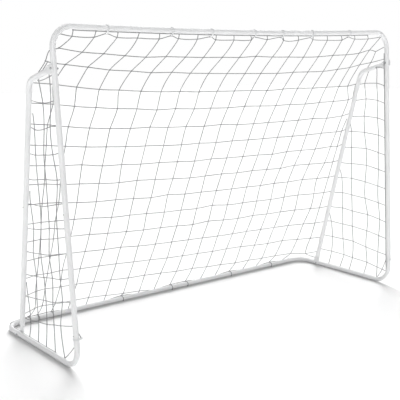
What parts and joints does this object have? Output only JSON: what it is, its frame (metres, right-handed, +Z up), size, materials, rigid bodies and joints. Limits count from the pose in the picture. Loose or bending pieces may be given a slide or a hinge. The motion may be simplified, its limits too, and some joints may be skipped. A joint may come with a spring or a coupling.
{
  "type": "soccer goal frame",
  "caption": "Freestanding backyard soccer goal: plug-together bent steel tubes with sprung snap buttons, bolted rear braces, net clips and a draped cord net.",
  "frame": {"origin": "on the ground, under the centre of the goal's box", "axes": "+X along the crossbar to the right as a player sees the mouth, +Y from the mouth to the rear bar, +Z up"},
  "size_m": [2.1608, 0.7524, 1.4691],
  "materials": {
    "white_paint": "satin white powder coat",
    "zinc_steel": "bright zinc plate",
    "button_steel": "nickel plated, polished by use",
    "spring_steel": "blued spring steel",
    "white_plastic": "moulded, fine grain",
    "net_cord": "twisted polyethylene twine"
  },
  "bodies": {
    "frame": {"bolt_brace_left": "zinc_steel", "bolt_brace_right": "zinc_steel", "bolt_foot_left": "zinc_steel", "bolt_foot_right": "zinc_steel", "brace_left": "white_paint", "brace_right": "white_paint", "crossbar_middle": "white_paint", "ground_side_left": "white_paint", "ground_side_right": "white_paint", "net_back": "net_cord", "net_clip_crossbar_1": "white_plastic", "net_clip_crossbar_2": "white_plastic", "net_clip_crossbar_3": "white_plastic", "net_clip_crossbar_4": "white_plastic", "net_clip_crossbar_5": "white_plastic", "net_clip_crossbar_6": "white_plastic", "net_clip_crossbar_7": "white_plastic", "net_clip_post_left": "white_plastic", "net_clip_post_right": "white_plastic", "net_left": "net_cord", "net_right": "net_cord", "net_roof": "net_cord", "nut_brace_left": "zinc_steel", "nut_brace_right": "zinc_steel", "nut_foot_left": "zinc_steel", "nut_foot_right": "zinc_steel", "post_lower_left": "white_paint", "post_lower_right": "white_paint", "rear_bar_left": "white_paint", "rear_bar_right": "white_paint", "spring_crossbar_left": "spring_steel", "spring_crossbar_right": "spring_steel", "spring_post_foot_left": "spring_steel", "spring_post_foot_right": "spring_steel", "spring_post_left": "spring_steel", "spring_post_right": "spring_steel", "spring_rear_centre": "spring_steel", "spring_rear_left": "spring_steel", "spring_rear_right": "spring_steel", "spring_upright_left": "spring_steel", "spring_upright_right": "spring_steel", "top_corner_left": "white_paint", "top_corner_right": "white_paint", "upright_left": "white_paint", "upright_right": "white_paint"},
    "button_crossbar_left": {"button_crossbar_left": "button_steel"},
    "button_crossbar_right": {"button_crossbar_right": "button_steel"},
    "button_post_foot_left": {"button_post_foot_left": "button_steel"},
    "button_post_foot_right": {"button_post_foot_right": "button_steel"},
    "button_post_left": {"button_post_left": "button_steel"},
    "button_post_right": {"button_post_right": "button_steel"},
    "button_rear_centre": {"button_rear_centre": "button_steel"},
    "button_rear_left": {"button_rear_left": "button_steel"},
    "button_rear_right": {"button_rear_right": "button_steel"},
    "button_upright_left": {"button_upright_left": "button_steel"},
    "button_upright_right": {"button_upright_right": "button_steel"}
  },
  "joints": [
    {"name": "press_crossbar_left", "type": "slide", "parent": "frame", "child": "button_crossbar_left", "axis": [-0.0011, -1, 0], "range_m": [0, 0.0038], "stiffness_N_per_m": 1500, "springref_m": -0.002, "deforming": ["spring_crossbar_left"]},
    {"name": "press_crossbar_right", "type": "slide", "parent": "frame", "child": "button_crossbar_right", "axis": [0.0011, -1, 0], "range_m": [0, 0.0038], "stiffness_N_per_m": 1500, "springref_m": -0.002, "deforming": ["spring_crossbar_right"]},
    {"name": "press_post_foot_left", "type": "slide", "parent": "frame", "child": "button_post_foot_left", "axis": [1, 0, 0], "range_m": [0, 0.0038], "stiffness_N_per_m": 1500, "springref_m": -0.002, "deforming": ["spring_post_foot_left"]},
    {"name": "press_post_foot_right", "type": "slide", "parent": "frame", "child": "button_post_foot_right", "axis": [-1, 0, 0], "range_m": [0, 0.0038], "stiffness_N_per_m": 1500, "springref_m": -0.002, "deforming": ["spring_post_foot_right"]},
    {"name": "press_post_left", "type": "slide", "parent": "frame", "child": "button_post_left", "axis": [1, 0, 0], "range_m": [0, 0.0038], "stiffness_N_per_m": 1500, "springref_m": -0.002, "deforming": ["spring_post_left"]},
    {"name": "press_post_right", "type": "slide", "parent": "frame", "child": "button_post_right", "axis": [-1, 0, 0], "range_m": [0, 0.0038], "stiffness_N_per_m": 1500, "springref_m": -0.002, "deforming": ["spring_post_right"]},
    {"name": "press_rear_centre", "type": "slide", "parent": "frame", "child": "button_rear_centre", "axis": [0, 0, -1], "range_m": [0, 0.0038], "stiffness_N_per_m": 1500, "springref_m": -0.002, "deforming": ["spring_rear_centre"]},
    {"name": "press_rear_left", "type": "slide", "parent": "frame", "child": "button_rear_left", "axis": [0, 0, -1], "range_m": [0, 0.0038], "stiffness_N_per_m": 1500, "springref_m": -0.002, "deforming": ["spring_rear_left"]},
    {"name": "press_rear_right", "type": "slide", "parent": "frame", "child": "button_rear_right", "axis": [0, 0, -1], "range_m": [0, 0.0038], "stiffness_N_per_m": 1500, "springref_m": -0.002, "deforming": ["spring_rear_right"]},
    {"name": "press_upright_left", "type": "slide", "parent": "frame", "child": "button_upright_left", "axis": [0.9997, -0.0052, 0.0227], "range_m": [0, 0.0038], "stiffness_N_per_m": 1500, "springref_m": -0.002, "deforming": ["spring_upright_left"]},
    {"name": "press_upright_right", "type": "slide", "parent": "frame", "child": "button_upright_right", "axis": [-0.9997, -0.0052, 0.0227], "range_m": [0, 0.0038], "stiffness_N_per_m": 1500, "springref_m": -0.002, "deforming": ["spring_upright_right"]}
  ]
}
